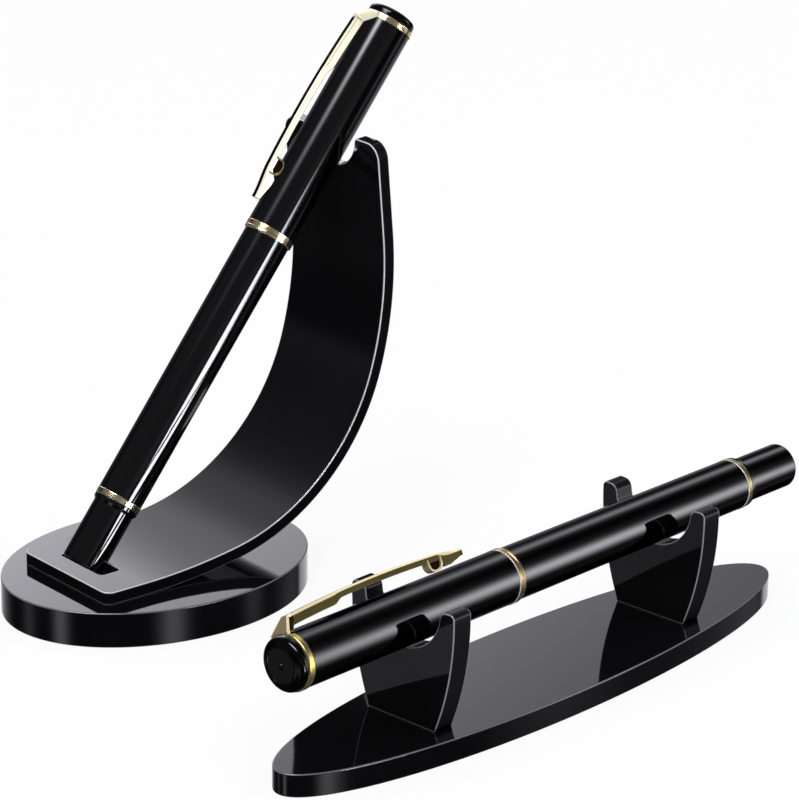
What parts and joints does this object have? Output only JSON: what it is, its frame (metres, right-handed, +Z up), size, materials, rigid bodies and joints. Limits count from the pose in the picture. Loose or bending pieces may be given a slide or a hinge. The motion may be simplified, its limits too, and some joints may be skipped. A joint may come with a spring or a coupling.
{
  "type": "pen stand set",
  "caption": "Two-piece black acrylic pen display: an upright bent stand and a low notched stand, each holding a capped lacquered pen with gold trim.",
  "frame": {"origin": "centre of the lying stand's underside, on the desk", "axes": "+Z up from the desk, +X along the lying stand from the cap end to the tail end of its pen, +Y towards the upright stand"},
  "size_m": [0.1452, 0.1285, 0.1154],
  "materials": {
    "black_acrylic": "polished black cast acrylic",
    "black_lacquer": "high-gloss black lacquer over brass",
    "gold_trim": "polished gold plating",
    "black_plastic": "smooth black plastic",
    "liner_plastic": "plain moulded liner",
    "refill_metal": "plain metal"
  },
  "bodies": {
    "stands": {"upright_base": "black_acrylic", "upright_arm": "black_acrylic", "lying_base": "black_acrylic", "front_cradle": "black_acrylic", "rear_cradle": "black_acrylic"},
    "upright_pen": {"upright_pen_barrel": "black_lacquer", "upright_pen_barrel_ring": "gold_trim", "upright_pen_tail_cap": "black_lacquer", "upright_pen_thread_sleeve": "gold_trim", "upright_pen_grip_section": "black_plastic", "upright_pen_refill": "refill_metal", "upright_pen_refill_tip": "refill_metal"},
    "upright_pen_cap": {"upright_pen_cap_tube": "black_lacquer", "upright_pen_cap_band": "gold_trim", "upright_pen_inner_cap": "liner_plastic", "upright_pen_finial": "black_lacquer", "upright_pen_clip_ring": "gold_trim"},
    "upright_pen_clip": {"upright_pen_clip_arm": "gold_trim"},
    "lying_pen": {"lying_pen_barrel": "black_lacquer", "lying_pen_barrel_ring": "gold_trim", "lying_pen_tail_cap": "black_lacquer", "lying_pen_thread_sleeve": "gold_trim", "lying_pen_grip_section": "black_plastic", "lying_pen_refill": "refill_metal", "lying_pen_refill_tip": "refill_metal"},
    "lying_pen_cap": {"lying_pen_cap_tube": "black_lacquer", "lying_pen_cap_band": "gold_trim", "lying_pen_inner_cap": "liner_plastic", "lying_pen_finial": "black_lacquer", "lying_pen_clip_ring": "gold_trim"},
    "lying_pen_clip": {"lying_pen_clip_arm": "gold_trim"}
  },
  "joints": [
    {"name": "upright_pen_lift", "type": "slide", "parent": "stands", "child": "upright_pen", "axis": [0, 0, 1], "range_m": [0, 0.09]},
    {"name": "upright_cap_pull", "type": "slide", "parent": "upright_pen", "child": "upright_pen_cap", "axis": [0.6157, -0.0756, 0.7843], "range_m": [0, 0.045]},
    {"name": "upright_clip_flex", "type": "hinge", "parent": "upright_pen_cap", "child": "upright_pen_clip", "pos_m": [0.03265, 0.08153, 0.11331], "axis": [0.2422, 0.9654, -0.097], "range_deg": [0, 4], "stiffness_Nm_per_rad": 2},
    {"name": "lying_pen_lift", "type": "slide", "parent": "stands", "child": "lying_pen", "axis": [0, 0, 1], "range_m": [0, 0.06]},
    {"name": "lying_cap_pull", "type": "slide", "parent": "lying_pen", "child": "lying_pen_cap", "axis": [-1, 0, 0], "range_m": [0, 0.045]},
    {"name": "lying_clip_flex", "type": "hinge", "parent": "lying_pen_cap", "child": "lying_pen_clip", "pos_m": [-0.06417, 0.0039, 0.03291], "axis": [0, -0.8829, 0.4695], "range_deg": [0, 4], "stiffness_Nm_per_rad": 2}
  ]
}
